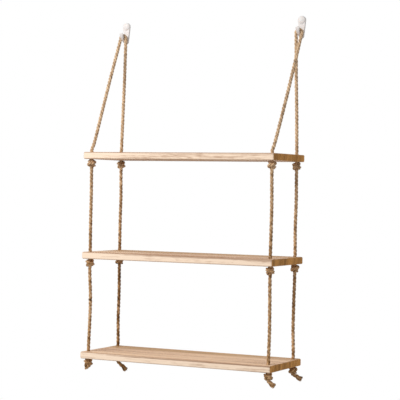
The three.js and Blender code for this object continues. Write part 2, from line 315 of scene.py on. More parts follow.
def woodMaterial(tier):
    shader = newShader(tier + "Wood")
    low, high = boardBox[tier]
    middle = (low + high) / 2
    half = (high - low) / 2
    place = shader.moved(shader.place(), shift=tuple(-middle))
    x, y, z = shader.parts(place)
    shift = wood["grainShift"][tier]
    seeded = shader.moved(place, shift=shift)
    layers = {}
    for name, (scale, detail, roughness) in wood["noises"].items():
        layers[name] = shader.noise(shader.moved(seeded, scale=scale), detail=detail, roughness=roughness)
    turnedX, turnedY, turnedZ = shader.parts(shader.place("Normal"))
    onFace = shader.step(abs(turnedZ), *wood["faceTurn"])
    onEdge = shader.step(abs(turnedY), *wood["faceTurn"])
    onEnd = shader.step(abs(turnedX), *wood["endTurn"])

    def uneven(contrast):
        return sum((layers[name] - 0.5) * weight for name, weight in contrast.items())

    # Growth rings stand nearly upright: the pith runs along the board, behind and below it, and wanders
    drift, ripple = layers["drift"] - 0.5, layers["ripple"] - 0.5
    acrossPith = y - (wood["pithBehind"] + shift[1]) + drift * wood["pithWanders"]
    overPith = z + (wood["pithBelow"] + shift[2])
    distance = (acrossPith * acrossPith + overPith * overPith) ** 0.5 + ripple * wood["ringRipple"]
    years = shader.noise(shader.joined(distance * wood["unevenRings"], shift[0], 0), detail=1) - 0.5
    ring = ((distance + years * wood["ringUneven"]) / wood["ringWidth"]).maths("FRACT")
    lateWood = shader.step(ring, *wood["ringDarkens"]) - shader.step(ring, *wood["ringEnds"])
    bandPlace = shader.joined(distance / wood["bandWidth"], x * wood["bandAlong"], shift[0])
    layers["band"] = shader.noise(bandPlace, detail=1)
    banded = shader.step(layers["band"], *wood["bandEdges"])
    rings = lateWood * (banded * (1 - wood["faintRings"]) + wood["faintRings"])

    # Long fibres, streaks and short dark pores, with wider streaks on the broad faces
    pore = shader.step(layers["pore"], *wood["poreEdges"])
    darkness = rings * (wood["ringDark"] - onEdge * wood["ringPalerOnEdge"]) + uneven(wood["contrast"])
    darkness = darkness + pore * wood["poreDark"] + onFace * uneven(wood["faceContrast"])
    # Painted light: the front and back faces are lighter, the top board most and the bottom board least
    tone = (darkness + wood["toneShift"] - onEdge * wood["paintedFrontLight"][tier]).clamped()
    colour = shader.mixed(tone, wood["light"], wood["dark"])

    # The broad faces are tanner than the planed edges, partly the wood's own colour and partly painted
    # shade, most of all in wide strips towards the back
    strip = layers["strip"] + y * wood["stripTowardsBack"]
    tanAndShade = shader.mixed(shader.step(strip, *wood["stripEdges"]), wood["faceTint"], wood["faceTanAndShade"])
    colour = shader.mixed(onFace, colour, shader.mixed(1, colour, tanAndShade, "MULTIPLY"))

    # End grain drinks the light: darker, with the rings in section and fine saw marks
    endTone = (rings * wood["endRingDark"] + uneven(wood["endContrast"]) + wood["endToneShift"]).clamped()
    colour = shader.mixed(onEnd, colour, shader.mixed(endTone, wood["endLight"], wood["endDark"]))

    # The holes' walls and rims are browner, the end grain's own colour with painted shade round the rope
    alongHole = abs(x) - holes["x"]
    fromRows = [(alongHole ** 2 + (y + middle.y - holes[row]) ** 2) ** 0.5 for row in ("frontY", "backY")]
    fromHole = fromRows[0].maths("MINIMUM", fromRows[1])
    # Painted shade and browner end grain in and around each hole
    holeGrainAndShade = 1 - shader.step(fromHole, *[holes["diameter"] * share for share in wood["holeGrainAndShadeShares"]])
    colour = shader.mixed(holeGrainAndShade * wood["holeGrainAndShade"], colour, wood["endLight"])

    # Rounded edges are darkened, partly burnished wear and partly painted shade, the front top one most
    nearTop = shader.step(abs(z), half.z - wood["burnishAndShadeWidth"], half.z)
    nearSide = shader.step(abs(y), half.y - wood["burnishAndShadeWidth"], half.y)
    frontTop = shader.step(z, 0, mm) * shader.step(-1 * y, 0, mm)
    # Painted shade and wear along the rounded edges
    burnishedAndShaded = nearTop * nearSide * (frontTop * wood["frontBurnishAndShade"] + wood["burnishAndShade"])
    colour = shader.mixed(burnishedAndShaded, colour, wood["edgeDark"])

    # A dark line runs along the front under the top edge, stronger on the lower boards, fading out to the
    # left
    wander = z + (layers["streak"] - 0.5) * wood["lineWanders"] + (layers["fine"] - 0.5) * wood["lineRagged"]
    overBottom, overTop = [
        shader.step(wander, *[half.z - depth for depth in wood[edge]]) for edge in ("lineBottom", "lineTop")
    ]
    atFront = shader.step(-1 * y, half.y - wood["lineDepth"], half.y - mm)
    line = (overBottom - overTop) * atFront * shader.step(x, *wood["lineFades"])
    colour = shader.mixed(line * wood["edgeLine"][tier], colour, wood["edgeDark"])

    layers.update({"pore": pore, "lateWood": lateWood, "endCell": onEnd * layers["cell"]})
    height = sum(layers[name] * share for name, share in wood["relief"].items())
    rougher = (layers["fibre"] - 0.5) * wood["roughnessUneven"] + onEnd * wood["endRougher"]
    return shader.finish({
        "Base Color": colour,
        "Roughness": rougher + wood["roughness"],
        "Specular IOR Level": wood["specular"],
        "Normal": shader.bumped(height, *wood["bump"]),
    })


# Rope fibre
fibreLook = {
    "light": (0.86, 0.6, 0.36),
    "middle": (0.46, 0.255, 0.108),
    # Painted light: the pale colour mixed into the upper ropes
    "paintedLightColour": (0.86, 0.725, 0.57),
    "dark": (0.115, 0.051, 0.014),
    "middleTone": 0.42,
    "lightTone": 0.85,
    "baseTone": 0.4,
    # Painted light on the upper ropes
    "paintedLightShare": 0.25,
    "litHeights": (-0.52, -0.08),
    "paintedLightAbove": 0.2,
    # Painted shade: the lower back ropes are darker, the left ones most
    "paintedBackShade": 0.2,
    "backDepths": (-0.09, -0.05),
    "backHeights": (-0.52, -0.28),
    "backSides": (-0.1, 0.15),
    "backRightFades": 0.8,
    "soiledSpot": (-0.1952, -0.138, -0.545),
    "soiledRadius": 4.5 * mm,
    "soiledCore": 0.3,
    "soiledDark": 0.55,
    # Painted shade in the grooves between strands
    "grooveDepths": (0.74, 1.04),
    "paintedGrooveShade": 0.92,
    "yarns": 5,
    "yarnLay": 7 * mm,
    "yarnContrast": 0.18,
    "yarnRelief": 0.5,
    "uvLength": 10 * mm,
    "hairScale": (26, 2.2),
    "hairContrast": 2,
    "patchScale": 130,
    "patchContrast": 2,
    "castScale": 9,
    "castContrast": 0.5,
    "bump": (0.8, 0.4 * mm),
    "roughness": 0.88,
    "specular": 0.25,
}


def ropeMaterial():
    look = fibreLook
    shader = newShader("ropeFibre")
    around, along, _ = shader.parts(shader.place("UV"))
    place = shader.place()
    x, y, height = shader.parts(place)
    depth = shader.node("Attribute", {"attribute_name": "depth"}, outputs=(2,))

    # Yarns lie across the strand, against the rope's lay
    turns = around + along * (look["uvLength"] / look["yarnLay"] / look["yarns"])
    yarn = (turns * (2 * math.pi * look["yarns"])).maths("COSINE") * 0.5 + 0.5
    acrossScale, alongScale = look["hairScale"]
    hair = shader.noise(shader.joined(turns * acrossScale, along * alongScale, 0), detail=4, roughness=0.75)
    patch = shader.noise(place, scale=look["patchScale"], detail=3, roughness=0.6)
    cast = shader.noise(place, scale=look["castScale"], detail=1)

    # Painted light: the rope is paler higher up
    upper = shader.step(height, *look["litHeights"])
    # Painted shade on the lower back ropes, the left ones most
    backShade = shader.step(y, *look["backDepths"]) * (1 - shader.step(height, *look["backHeights"]))
    backShade = backShade * (1 - shader.step(x, *look["backSides"]) * look["backRightFades"])
    fromSpot = sum((way - centre) ** 2 for way, centre in zip((x, y, height), look["soiledSpot"])) ** 0.5
    spot = 1 - shader.step(fromSpot, look["soiledCore"] * look["soiledRadius"], look["soiledRadius"])
    tone = (hair - 0.5) * look["hairContrast"] + (patch - 0.5) * look["patchContrast"]
    tone = tone + yarn * look["yarnContrast"] + (cast - 0.5) * look["castContrast"] + upper * look["paintedLightAbove"]
    tone = tone - backShade * look["paintedBackShade"] - spot * look["soiledDark"] + look["baseTone"]
    stops = [(0, look["dark"]), (look["middleTone"], look["middle"]), (look["lightTone"], look["light"])]
    colour = shader.node("ValToRGB", {"stops": stops}, {"Fac": tone})
    # Painted light: the pale colour mixed in higher up
    colour = shader.mixed(upper * look["paintedLightShare"], colour, look["paintedLightColour"])
    # Painted shade: the deep points between strands are darkened
    groove = 1 - shader.step(depth, *look["grooveDepths"])
    colour = shader.mixed(groove * look["paintedGrooveShade"], colour, look["dark"])
    return shader.finish({
        "Base Color": colour,
        "Roughness": look["roughness"],
        "Specular IOR Level": look["specular"],
        "Normal": shader.bumped(yarn * look["yarnRelief"] + hair, *look["bump"]),
    })


# Moulded hook and its foam pad
hookLook = {
    "colour": (0.76, 0.73, 0.725),
    "shade": (0.72, 0.68, 0.67),
    "cloudScale": 90,
    "cloudEdges": (0.35, 0.75),
    "speckScale": 2400,
    "flowScale": (400, 400, 60),
    "flowRelief": 0.6,
    "bump": (0.12, 0.05 * mm),
    "roughness": 0.4,
    "roughnessUneven": 0.12,
    "specular": 0.35,
    "glow": 0.15,
    "glowReach": (2 * mm, 1.6 * mm, 1.4 * mm),
}

padLook = {
    "light": (0.78, 0.78, 0.76),
    "dark": (0.55, 0.55, 0.53),
    "cellScale": 1800,
    "bump": (0.5, 0.2 * mm),
    "roughness": 0.9,
}


def hookMaterial():
    look = hookLook
    shader = newShader("hookPlastic")
    place = shader.place()
    cloud = shader.noise(place, scale=look["cloudScale"])
    speck = shader.noise(place, scale=look["speckScale"], detail=1)
    flow = shader.noise(shader.moved(place, scale=look["flowScale"]))
    return shader.finish({
        "Base Color": shader.mixed(shader.step(cloud, *look["cloudEdges"]), look["colour"], look["shade"]),
        "Roughness": look["roughness"] + flow * look["roughnessUneven"],
        "Specular IOR Level": look["specular"],
        "Subsurface Weight": look["glow"],
        "Subsurface Radius": look["glowReach"],
        "Normal": shader.bumped(speck + flow * look["flowRelief"], *look["bump"]),
    })


def padMaterial():
    shader = newShader("foamPad")
    cell = shader.noise(shader.place(), scale=padLook["cellScale"])
    return shader.finish({
        "Base Color": shader.mixed(cell, padLook["light"], padLook["dark"]),
        "Roughness": padLook["roughness"],
        "Normal": shader.bumped(cell, *padLook["bump"]),
    })


# Helpers for pieces
def makeObject(name, mesh, material):
    piece = bpy.data.objects.new(name, mesh)
    scene.collection.objects.link(piece)
    mesh.materials.clear()
    mesh.materials.append(material)
    return piece


def meshFromBmesh(name, shape):
    mesh = bpy.data.meshes.new(name)
    shape.to_mesh(mesh)
    shape.free()
    return mesh


cutterMaterial = bpy.data.materials.new("cutter")


# An unseen object to cut or join with
def helperObject(name, shape):
    return makeObject(name, meshFromBmesh(name, shape), cutterMaterial)


def roundOff(shape, edges, offset, segments):
    bmesh.ops.bevel(shape, geom=edges, offset=offset, segments=segments, profile=0.5, affect="EDGES",
                    material=-1)


def vertsIn(items):
    return [item for item in items if isinstance(item, bmesh.types.BMVert)]


# The object with its modifiers applied, as a plain mesh
def appliedMesh(piece):
    graph = bpy.context.evaluated_depsgraph_get()
    mesh = bpy.data.meshes.new_from_object(piece.evaluated_get(graph))
    bpy.data.objects.remove(piece)
    return mesh


def addBoolean(piece, cutter, operation):
    change = piece.modifiers.new(operation.lower(), "BOOLEAN")
    change.operation = operation
    change.object = cutter
    change.solver = "EXACT"


def finishPiece(piece, node):
    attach(piece, bodyOfNode[node])
    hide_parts(node)


# Boards
boards = {
    "edgeRound": 2.5 * mm,
    "edgeSegments": 5,
    "cornerRound": 4 * mm,
    "cornerSegments": 7,
    "holeFromEnd": 11 * mm,
    "holeFromEdge": 15.5 * mm,
    "holeSides": 48,
    "holeRim": 0.6 * mm,
    "cutOverrun": 2 * mm,
}

holes = {
    "diameter": 8.5 * mm,
    "x": boardBox["top"][1].x - boards["holeFromEnd"],
    "backY": boardBox["top"][1].y - boards["holeFromEdge"],
    "frontY": boardBox["top"][0].y + boards["holeFromEdge"],
}


def holeCutter(top, thickness):
    radius = holes["diameter"] / 2
    rim = boards["holeRim"]
    over = boards["cutOverrun"]
    profile = [(radius + rim + over, over), (radius, -rim), (radius, rim - thickness),
               (radius + rim + over, -thickness - over)]
    shape = bmesh.new()
    verts = [shape.verts.new((across, 0, height)) for across, height in profile]
    edges = [shape.edges.new(pair) for pair in zip(verts, verts[1:])]
    bmesh.ops.spin(shape, geom=verts + edges, cent=(0, 0, 0), axis=(0, 0, 1), angle=2 * math.pi,
                   steps=boards["holeSides"], use_merge=True)
    bmesh.ops.holes_fill(shape, edges=shape.edges)
    bmesh.ops.recalc_face_normals(shape, faces=shape.faces)
    mesh = meshFromBmesh("holeCutter", shape)
    whole = bmesh.new()
    for x in (-holes["x"], holes["x"]):
        for y in (holes["frontY"], holes["backY"]):
            mesh.transform(Matrix.Translation((x, y, top)))
            whole.from_mesh(mesh)
            mesh.transform(Matrix.Translation((-x, -y, -top)))
    return helperObject("holeCutters", whole)


def rise(edge):
    return abs(edge.verts[0].co.z - edge.verts[1].co.z)


def makeBoard(tier):
    low, high = boardBox[tier]
    size = high - low
    shape = bmesh.new()
    bmesh.ops.create_cube(shape, size=1)
    bmesh.ops.scale(shape, vec=size, verts=shape.verts)
    upright = [edge for edge in shape.edges if rise(edge) > size.z / 2]
    roundOff(shape, upright, boards["cornerRound"], boards["cornerSegments"])
    rims = [edge for edge in shape.edges if rise(edge) < mm]
    roundOff(shape, rims, boards["edgeRound"], boards["edgeSegments"])
    bmesh.ops.translate(shape, vec=(low + high) / 2, verts=shape.verts)
    for face in shape.faces:
        face.smooth = True
    blank = helperObject("blank", shape)
    cutter = holeCutter(high.z, size.z)
    addBoolean(blank, cutter, "DIFFERENCE")
    mesh = appliedMesh(blank)
    bpy.data.objects.remove(cutter)
    piece = makeObject(tier + "_drilled_board", mesh, woodMaterial(tier))
    weigh = piece.modifiers.new("weighted", "WEIGHTED_NORMAL")
    weigh.keep_sharp = True
    finishPiece(piece, tier + "_board")


# How the rope is drawn
rope = {
    "diameter": 6.9 * mm,
    "pressed": 0.07,
    "pressedLength": 17 * mm,
    "knottedShare": 1.04,
    # A knot's middle counts as deeper, for more painted shade
    "creviceReach": 9 * mm,
    "creviceShadeShare": 0.32,
    "strands": 3,
    "strandFullness": 1.06,
    "strandRoundness": 4,
    "layLength": 23 * mm,
    "step": 0.8 * mm,
    "tuckLength": 1.2 * mm,
    "tuckShare": 0.8,
    "tuckSteepness": 3,
    "easeLength": 4 * mm,
    "frayLength": 20 * mm,
    "fraySpread": 1.75,
    "frayUnlaid": 0.7,
    "frayTaper": 0.5,
    "frayUneven": 1.6 * mm,
    "yarnsPerStrand": 7,
    "yarnDiameter": 1.45 * mm,
    "yarnRoundness": 1,
    "yarnOffset": 0.66,
    "yarnSpread": 0.9,
    "yarnJitter": 0.3,
    "yarnDepth": 0.98,
    # Each wave's radians per metre, and its step from one strand to the next
    "turnJitter": 0.12,
    "turnWaves": (130, 2.1),
    "unevenness": 0.06,
    "swells": ((310, 1.7), (83, 1)),
    "seed": 7,
}

# Loose fibres that stand off the strands, with a tuft of them at the soiled spot
fuzz = {
    "perMetre": 900,
    "length": 3.2 * mm,
    "width": 0.09 * mm,
    "depth": 1,
    "lengthShares": (0.3, 1),
    "rootOut": (0.2, 0.9),
    "rootAround": (-0.6, 0.6),
    "rootShare": 0.9,
    "leanAlong": (0.5, 1.4),
    "leanOut": (0.15, 0.9),
    "leanAround": (-0.6, 0.6),
    "curlOut": (-0.5, 0.3),
    "curlAround": (-0.5, 0.5),
    "places": (0, 0.35, 0.7, 1),
    "widths": (1.2, 1, 0.8, 0.35),
    "tuftNode": "lower_left_front_rope",
    "tuftReach": 2 * mm,
    "tuftHairs": 70,
    "tuftLength": 1.3,
}

# Strands that touch each other and fill the rope
strandRadius = rope["diameter"] / 2 / (1 + 2 / math.sqrt(3))
strandOffset = strandRadius * 2 / math.sqrt(3)
drawnRadius = strandRadius * rope["strandFullness"]

# Where the rope runs: as in the frame, but with tighter, lower knots and other ends to the tails
route = {
    "diameter": 6 * mm,
    "boardDropBelowCrown": 247 * mm,
    "tierPitch": 201 * mm,
    "boardThickness": 14 * mm,
    "seatGap": 0.3 * mm,
    "bendGap": 0.7 * mm,
    "strandPitch": 5.2 * mm,
    "knottedDiameter": 4.5 * mm,
    "halfHeightShare": 0.96,
    "exitLength": 1.5 * mm,
    "knotGirth": 0.93,
    "knotTall": 1.12,
    "knotSag": 0.9 * mm,
    "loopRadius": 6.3 * mm,
    "loopHalfDegrees": 25,
    "loopJointDegrees": 10,
    "loopSpans": 6,
    "legLoopSpans": 4,
    "upperShares": (0.045, 0.35, 0.65, 0.93, 0.98),
    "lowerShares": (0, 0.07, 0.35, 0.65, 0.93, 1),
}
halfHeight = route["halfHeightShare"] * route["strandPitch"] + route["knottedDiameter"] / 2
knotCentreDrop = route["boardThickness"] + route["seatGap"] + halfHeight
knotExitDrop = knotCentreDrop + halfHeight + route["exitLength"]
legTopDrop = knotExitDrop + route["bendGap"]

# Half of an overhand knot's centre line in strand pitches: the other half is it turned half way about X
knotHalfRoute = [
    (0, 0, 1.5), (0.05, -0.18, 0.8), (0.12, -0.46, 0.05), (0, -0.76, -0.48), (-0.47, -0.93, -0.8),
    (-0.98, -0.47, -0.76), (-0.94, 0.54, -0.6), (-0.1, 1.18, -0.47), (0.88, 0.88, -0.25), (1.1, 0, 0),
]

corners = ("left_front", "left_back", "right_front", "right_back")

# Each knot's turn about the rope in degrees and 1 or -1 for its hand, in the order of the corners
knotTurns = {
    "top": ((117, -1), (-58, 1), (108, -1), (-70, 1)),
    "middle": ((-52, 1), (128, -1), (-63, 1), (120, -1)),
    "bottom": ((-60, 1), (112, -1), (-68, 1), (117, -1)),
}

# Where each loose tail goes, in rope diameters from its knot
tails = {
    "left_front": [(-0.4, -0.1, -0.14), (-1.2, -0.4, -0.26)],
    "left_back": [(0.45, 0.05, -0.75), (1.75, 0.3, -1.85), (3.3, 0.5, -3.15)],
    "right_front": [(0.55, 0.2, -0.62), (2.05, 0.75, -1.75)],
    "right_back": [(0.85, 0.3, -0.5), (2.8, 1.05, -1.6)],
}

# How far each stretch bows at its upper and lower thirds, in rope diameters along X and Y
bows = {
    "upper": {
        "left_front": [(-0.15, 0.1), (-0.1, 0.1)], "left_back": [(0.1, 0), (0.05, 0)],
        "right_front": [(0.1, 0.1), (0.15, 0)], "right_back": [(-0.05, 0), (0.05, 0)],
    },
    "middle": {
        "left_front": [(0.05, 0), (-0.05, 0.05)], "left_back": [(0.15, 0), (0.05, -0.1)],
        "right_front": [(0.15, 0), (0.1, 0)], "right_back": [(0.1, -0.05), (-0.1, 0)],
    },
    "lower": {
        "left_front": [(0.4, 0), (0.35, -0.1)], "left_back": [(0.05, 0), (-0.15, 0.05)],
        "right_front": [(0.1, 0), (0.15, 0)], "right_back": [(-0.15, 0), (-0.25, 0.05)],
    },
}


def loopPoints(sign, fromDegrees, toDegrees, spans):
    points = []
    for index in range(spans + 1):
        angle = math.radians(fromDegrees + (toDegrees - fromDegrees) * index / spans)
        x = sign * (holes["x"] + route["loopRadius"] * math.sin(angle))
        points.append(Vector((x, holes["backY"], route["loopRadius"] * (math.cos(angle) - 1))))
    return points


def holeYOf(corner):
    return holes["frontY"] if corner.endswith("front") else holes["backY"]


# Points from start to end at the given shares. The fourth and third last are the thirds, where it bows
def bowedPoints(start, end, shares, bow):
    bends = [(0, 0)] * (len(shares) - 4) + [*bow, (0, 0), (0, 0)]
    points = []
    for share, (x, y) in zip(shares, bends):
        points.append(start.lerp(end, share) + Vector((x, y, 0)) * route["diameter"])
    return points


def upperLeg(sign, corner):
    outward = 1 if corner.endswith("front") else -1
    topAngle = route["loopHalfDegrees"] + route["loopJointDegrees"]
    points = loopPoints(sign, outward * topAngle, outward * 90, route["legLoopSpans"])
    end = Vector((sign * holes["x"], holeYOf(corner), -route["boardDropBelowCrown"]))
    points += bowedPoints(points[-1], end, route["upperShares"], bows["upper"][corner])
    points[-1].y = end.y
    return points + [end]


def lowerLeg(sign, corner, stretch, boardTop):
    start = Vector((sign * holes["x"], holeYOf(corner), boardTop - legTopDrop))
    end = Vector((start.x, start.y, boardTop - route["tierPitch"]))
    return bowedPoints(start, end, route["lowerShares"], bows[stretch][corner])


def knotPoints(sign, corner, tier, boardTop):
    centre = Vector((sign * holes["x"], holeYOf(corner), boardTop - knotCentreDrop))
    turn, hand = knotTurns[tier][corners.index(corner)]
    half = [Vector(point) for point in knotHalfRoute]
    whole = half + [Vector((point.x, -point.y, -point.z)) for point in reversed(half[:-1])]
    girth = route["knotGirth"]
    placing = Matrix.Translation(centre - Vector((0, 0, route["knotSag"])))
    placing = placing @ Matrix.Rotation(math.radians(turn), 4, "Z")
    placing = placing @ Matrix.Diagonal((hand * girth, girth, route["knotTall"], 1))
    placing = placing @ Matrix.Scale(route["strandPitch"], 4)
    points = [centre + Vector((0, 0, knotCentreDrop - route["bendGap"]))]
    points += [placing @ point for point in whole]
    leaves = centre + Vector((0, 0, knotCentreDrop - knotExitDrop))
    points.append(leaves)
    if tier == "bottom":
        points += [leaves + Vector(point) * route["diameter"] for point in tails[corner]]
    return points


# The pieces of rope on one corner, from the hook down
def cornerRopes(side, sign, depth):
    corner = side + "_" + depth
    pieces = [("upper_" + corner + "_rope", upperLeg(sign, corner))]
    below = {"top": "middle", "middle": "lower"}
    for index, tier in enumerate(("top", "middle", "bottom")):
        boardTop = -route["boardDropBelowCrown"] - index * route["tierPitch"]
        pieces.append((tier + "_" + corner + "_knot", knotPoints(sign, corner, tier, boardTop)))
        if tier in below:
            leg = lowerLeg(sign, corner, below[tier], boardTop)
            pieces.append((below[tier] + "_" + corner + "_rope", leg))
    return pieces


# One side's rope from its back tail, over the hook, to its front tail
def sideRopes(side, sign):
    reach = route["loopHalfDegrees"]
    over = [(side + "_rope_loop", loopPoints(sign, -reach, reach, route["loopSpans"]))]
    back = [(name, points[::-1]) for name, points in reversed(cornerRopes(side, sign, "back"))]
    return back + over + cornerRopes(side, sign, "front")


# A centripetal curve through the points, sampled about evenly. Also gives each point's distance along it
def smoothLine(points):
    ends = [2 * points[0] - points[1], *points, 2 * points[-1] - points[-2]]
    line = [points[0].copy()]
    marks = [0]
    travelled = 0
    for index in range(len(points) - 1):
        near = ends[index:index + 4]
        before, start, stop, after = near
        first, middle, last = [max(math.sqrt((b - a).length), 1e-4) for a, b in zip(near, near[1:])]
        leave = (start - before) / first - (stop - before) / (first + middle) + (stop - start) / middle
        arrive = (stop - start) / middle - (after - start) / (middle + last) + (after - stop) / last
        leave, arrive = leave * middle, arrive * middle
        count = max(1, round((stop - start).length / rope["step"]))
        for part in range(1, count + 1):
            t = part / count
            point = start + leave * t + (3 * (stop - start) - 2 * leave - arrive) * t ** 2
            point = point + (leave + arrive - 2 * (stop - start)) * t ** 3
            travelled += (point - line[-1]).length
            line.append(point)
        marks.append(travelled)
    return line, marks


# Sides that turn with the line and never spin about it
def carriedSides(line):
    ways = [(after - before).normalized() for before, after in zip(line, line[1:])]
    ways.append(ways[-1].copy())
    side = ways[0].orthogonal().normalized()
    sides = [side]
    for before, after in zip(ways, ways[1:]):
        side = before.rotation_difference(after) @ side
        side = (side - after * side.dot(after)).normalized()
        sides.append(side)
    return ways, sides


def easedStep(value, length):
    share = min(max(value / length, 0), 1)
    return share * share * (3 - 2 * share)


def addStrand(curve, points, radii):
    spline = curve.splines.new("POLY")
    spline.points.add(len(points) - 1)
    for point, place, radius in zip(spline.points, points, radii):
        point.co = (*place, 1)
        point.radius = radius


def newCurve(name, radius, resolution):
    curve = bpy.data.curves.new(name, "CURVE")
    curve.dimensions = "3D"
    curve.bevel_depth = radius
    curve.bevel_resolution = resolution
    curve.use_fill_caps = True
    curve.twist_mode = "MINIMUM"
    return curve


def curveToBmesh(curve):
    holder = bpy.data.objects.new(curve.name, curve)
    scene.collection.objects.link(holder)
    mesh = appliedMesh(holder)
    shape = bmesh.new()
    shape.from_mesh(mesh)
    bmesh.ops.remove_doubles(shape, verts=shape.verts, dist=1e-7)
    bpy.data.meshes.remove(mesh)
    bpy.data.curves.remove(curve)
    return shape


class RopeSide:
    # The whole rope of one side: its samples, its sides and how far along each piece starts and ends
    def __init__(self, side, sign):
        self.pieces = sideRopes(side, sign)
        points = [point for _, piece in self.pieces for point in piece]
        self.line, marks = smoothLine(points)
        self.ways, self.sides = carriedSides(self.line)
        self.along = [0]
        for before, after in zip(self.line, self.line[1:]):
            self.along.append(self.along[-1] + (after - before).length)
        self.spans = []
        first = 0
        for _, piece in self.pieces:
            last = first + len(piece) - 1
            start = marks[first] if first == 0 else (marks[first] + marks[first - 1]) / 2
            stop = marks[last] if last == len(marks) - 1 else (marks[last] + marks[last + 1]) / 2
            self.spans.append((start, stop))
            first = last + 1
        self.length = self.along[-1]
        loop = [name.endswith("loop") for name, _ in self.pieces].index(True)
        self.crown = sum(self.spans[loop]) / 2

    # The samples between two lengths along the rope
    def between(self, start, stop):
        return [index for index, along in enumerate(self.along) if start <= along <= stop]

    # How thick the rope is drawn, as a share: pressed together on the hook, and a little fuller in the knots
    def squeeze(self, along):
        for (name, _), (start, stop) in zip(self.pieces, self.spans):
            if name.endswith("knot") and start <= along <= stop:
                inside = min(along - start, stop - along)
                return 1 - (1 - rope["knottedShare"]) * easedStep(inside, rope["easeLength"])
        return 1 - rope["pressed"] * (1 - easedStep(abs(along - self.crown), rope["pressedLength"]))

    # How far the strands have opened, from 0 along the rope to 1 at its two ends
    def opened(self, along):
        toEnd = min(along, self.length - along)
        return 1 - easedStep(toEnd, rope["frayLength"])

    # The length that the strands have wound, which falls behind where they come out of their lay
    def wound(self, along):
        u = min(along, self.length - along, rope["frayLength"]) / rope["frayLength"]
        lost = rope["frayLength"] * (0.5 - u + u ** 3 - u ** 4 / 2) * rope["frayUnlaid"]
        return along + lost if along < self.length / 2 else along - lost


def strandPlace(lay, index, strand, squeeze):
    along = lay.along[index]
    opened = lay.opened(along)
    pace, apart = rope["turnWaves"]
    angle = -2 * math.pi * lay.wound(along) / rope["layLength"] + 2 * math.pi * strand / rope["strands"]
    angle += rope["turnJitter"] * math.sin(along * pace + strand * apart)
    offset = strandOffset * squeeze * (1 + (rope["fraySpread"] - 1) * opened)
    other = lay.ways[index].cross(lay.sides[index])
    out = lay.sides[index] * math.cos(angle) + other * math.sin(angle)
    return lay.line[index] + out * offset, out


def makeRopePiece(lay, number, material, chance):
    name = lay.pieces[number][0]
    start, stop = lay.spans[number]
    tuck = rope["tuckLength"]
    chosen = lay.between(start - tuck, stop + tuck)
    strands = newCurve(name + "Strands", drawnRadius, rope["strandRoundness"])
    hairs = newCurve(name + "Hairs", fuzz["width"] / 2, 0)
    for strand in range(rope["strands"]):
        places, radii = [], []
        for index in chosen:
            along = lay.along[index]
            beyond = max(start - along, along - stop, 0)
            squeeze = lay.squeeze(along)
            swells = [math.sin(along * pace + strand * apart) for pace, apart in rope["swells"]]
            uneven = 1 + rope["unevenness"] * swells[0] * swells[1]
            tucked = 1 - (1 - rope["tuckShare"]) * min(beyond / tuck * rope["tuckSteepness"], 1)
            places.append(strandPlace(lay, index, strand, squeeze)[0])
            radii.append(squeeze * uneven * tucked * (1 - rope["frayTaper"] * lay.opened(along)))
        addStrand(strands, places, radii)
    yarns = newCurve(name + "Yarns", rope["yarnDiameter"] / 2, rope["yarnRoundness"])
    addYarns(lay, start, stop, yarns, chance)
    addHairs(lay, start, stop, hairs, chance, name)
    shape = curveToBmesh(strands)
    markDepth(shape, lay, chosen, name.endswith("knot"))
    for extra, depth in ((yarns, rope["yarnDepth"]), (hairs, fuzz["depth"])):
        if extra.splines:
            extraMesh = meshFromBmesh(extra.name, curveToBmesh(extra))
            values = [depth] * len(extraMesh.vertices)
            extraMesh.attributes.new("depth", "FLOAT", "POINT").data.foreach_set("value", values)
            shape.from_mesh(extraMesh)
            bpy.data.meshes.remove(extraMesh)
    for face in shape.faces:
        face.smooth = True
    title = name.replace("rope", "twisted_rope").replace("knot", "tied_knot")
    finishPiece(makeObject(title, meshFromBmesh(name, shape), material), name)


# Writes how far out each point lies, from 0 on the rope's axis to 1 on its outside, and scales the UV map.
# In a knot the points near its middle count as deeper, which gives them more painted shade
def markDepth(shape, lay, chosen, knotted):
    depth = shape.verts.layers.float.new("depth")
    middle = lay.line[chosen[len(chosen) // 2]].copy()
    middle.x = math.copysign(holes["x"], middle.x)
    middle.y = min((holes["backY"], holes["frontY"]), key=lambda row: abs(middle.y - row))
    uvMap = shape.loops.layers.uv.active
    length = lay.along[chosen[-1]] - lay.along[chosen[0]]
    for face in shape.faces:
        for loop in face.loops:
            uv = loop[uvMap].uv
            index = chosen[min(round(uv.y * (len(chosen) - 1)), len(chosen) - 1)]
            share = 1
            if knotted:
                out = (loop.vert.co - middle).to_2d().length / rope["creviceReach"]
                share = 1 - rope["creviceShadeShare"] * (1 - min(out, 1))
            loop.vert[depth] = (loop.vert.co - lay.line[index]).length / (rope["diameter"] / 2) * share
            loop[uvMap].uv = (uv.x, (uv.y * length + lay.along[chosen[0]]) / fibreLook["uvLength"])


# The yarns that each strand opens into at the cut end of a tail
def addYarns(lay, start, stop, yarns, chance):
    inside = lay.between(start, stop)
    for atEnd in (False, True):
        toEnds = [lay.length - along if atEnd else along for along in lay.along]
        near = [index for index in inside if toEnds[index] <= rope["frayLength"]]
        if not near:
            continue
        for strand in range(rope["strands"]):
            for yarn in range(rope["yarnsPerStrand"]):
                jitter = chance.uniform(-rope["yarnJitter"], rope["yarnJitter"])
                angle = 2 * math.pi * yarn / (rope["yarnsPerStrand"] - 1) + jitter
                offset = drawnRadius * rope["yarnOffset"] * (0 if yarn == 0 else 1)
                cut = chance.uniform(0, rope["frayUneven"])
                places = []
                for index in near:
                    if toEnds[index] >= cut:
                        place, out = strandPlace(lay, index, strand, 1)
                        around = lay.ways[index].cross(out)
                        reach = offset * (1 + rope["yarnSpread"] * lay.opened(lay.along[index]))
                        places.append(place + (out * math.cos(angle) + around * math.sin(angle)) * reach)
                addStrand(yarns, places, [1] * len(places))


